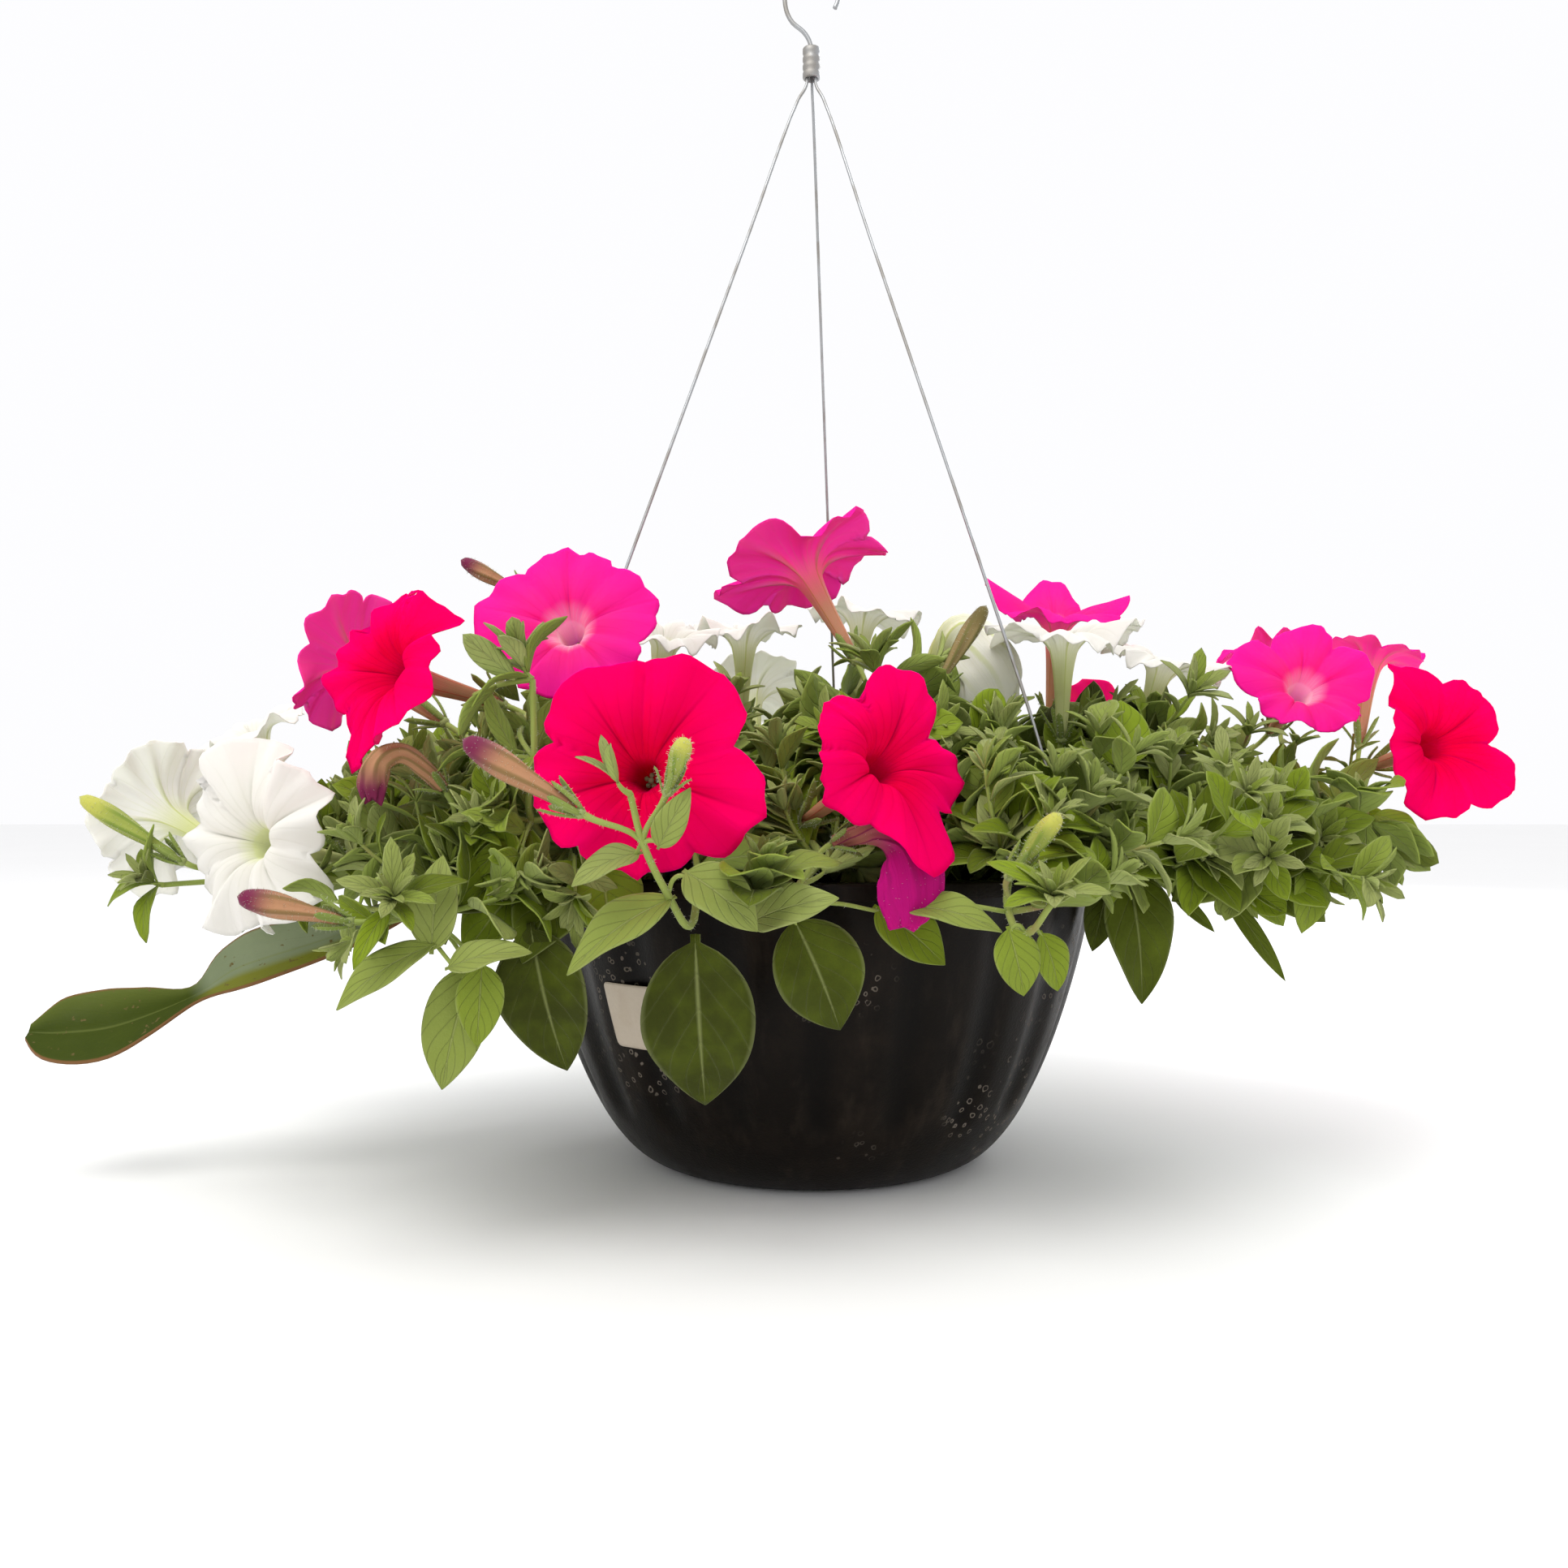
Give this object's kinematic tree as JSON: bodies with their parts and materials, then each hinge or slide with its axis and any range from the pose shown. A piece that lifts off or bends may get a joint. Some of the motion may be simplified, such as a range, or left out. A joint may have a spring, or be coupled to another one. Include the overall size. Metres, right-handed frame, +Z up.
{
  "type": "hanging basket with trailing petunias",
  "caption": "Round ribbed plastic hanging basket on a three-wire hanger, filled with mounding and trailing petunias in red, pink and white, with trumpet flowers and soft oval leaves",
  "frame": {"origin": "centre of the basket's flat base, on the face it can stand on", "axes": "+Z up along the basket's axis and the hanger; -Y is the front, where the label and the fullest shoots are; +X is the viewer's right"},
  "size_m": [0.7273, 0.5093, 0.615],
  "materials": {
    "pot_plastic": "satin black, dusty, with dried water marks",
    "soil": "crumbly dark peat",
    "roots": "matted fine roots in peat",
    "label_paper": "matt cream paper, blank",
    "galvanised_wire": "dull galvanised",
    "foliage": "velvety, finely haired",
    "red_petal": "velvety",
    "pink_petal": "velvety",
    "white_petal": "soft, slightly translucent",
    "faded_petal": "limp and creased",
    "bud_skin": "ribbed and hairy"
  },
  "bodies": {
    "root": {"bud_green_front": "bud_skin", "bud_olive_top": "bud_skin", "bud_pink_top_left": "bud_skin", "bud_red_left": "bud_skin", "bud_red_low_left": "bud_skin", "bud_white_far_left": "white_petal", "bud_wilted_left": "faded_petal", "bud_yellow_right": "bud_skin", "flower_pink_back_left": "pink_petal", "flower_pink_far_right_rear": "pink_petal", "flower_pink_left_rear": "pink_petal", "flower_pink_rear_small": "pink_petal", "flower_pink_right": "pink_petal", "flower_pink_right_rear": "pink_petal", "flower_pink_top": "pink_petal", "flower_pink_top_left": "pink_petal", "flower_red_back_right": "red_petal", "flower_red_centre_right": "red_petal", "flower_red_far_right": "red_petal", "flower_red_front": "red_petal", "flower_red_left": "red_petal", "flower_white_back": "white_petal", "flower_white_back_right": "white_petal", "flower_white_behind": "white_petal", "flower_white_centre_rear": "white_petal", "flower_white_drooping": "white_petal", "flower_white_far_left": "white_petal", "flower_white_left": "white_petal", "flower_white_left_rear": "white_petal", "flower_white_right": "white_petal", "flower_white_right_rear": "white_petal", "flower_white_top_rear": "white_petal", "flower_wilted_front": "faded_petal", "hanger_ferrule": "galvanised_wire", "hanger_hook": "galvanised_wire", "hanger_wire_back": "galvanised_wire", "hanger_wire_left": "galvanised_wire", "hanger_wire_right": "galvanised_wire", "leaf_broad_far_left": "foliage", "pot_bowl": "pot_plastic", "potting_soil": "soil", "price_label": "label_paper", "root_ball_back_left": "roots", "root_ball_back_right": "roots", "root_ball_front_left": "roots", "root_ball_front_right": "roots", "shoot_back_left": "foliage", "shoot_back_right": "foliage", "shoot_far_left": "foliage", "shoot_far_right": "foliage", "shoot_front": "foliage", "shoot_front_right": "foliage", "shoot_left_low": "foliage", "shoot_left_rear": "foliage", "shoot_left_tall": "foliage", "shoot_right_low": "foliage", "shoot_right_top": "foliage", "shoot_right_trailing": "foliage", "shoot_top_centre": "foliage", "shoot_top_left": "foliage"}
  },
  "joints": []
}
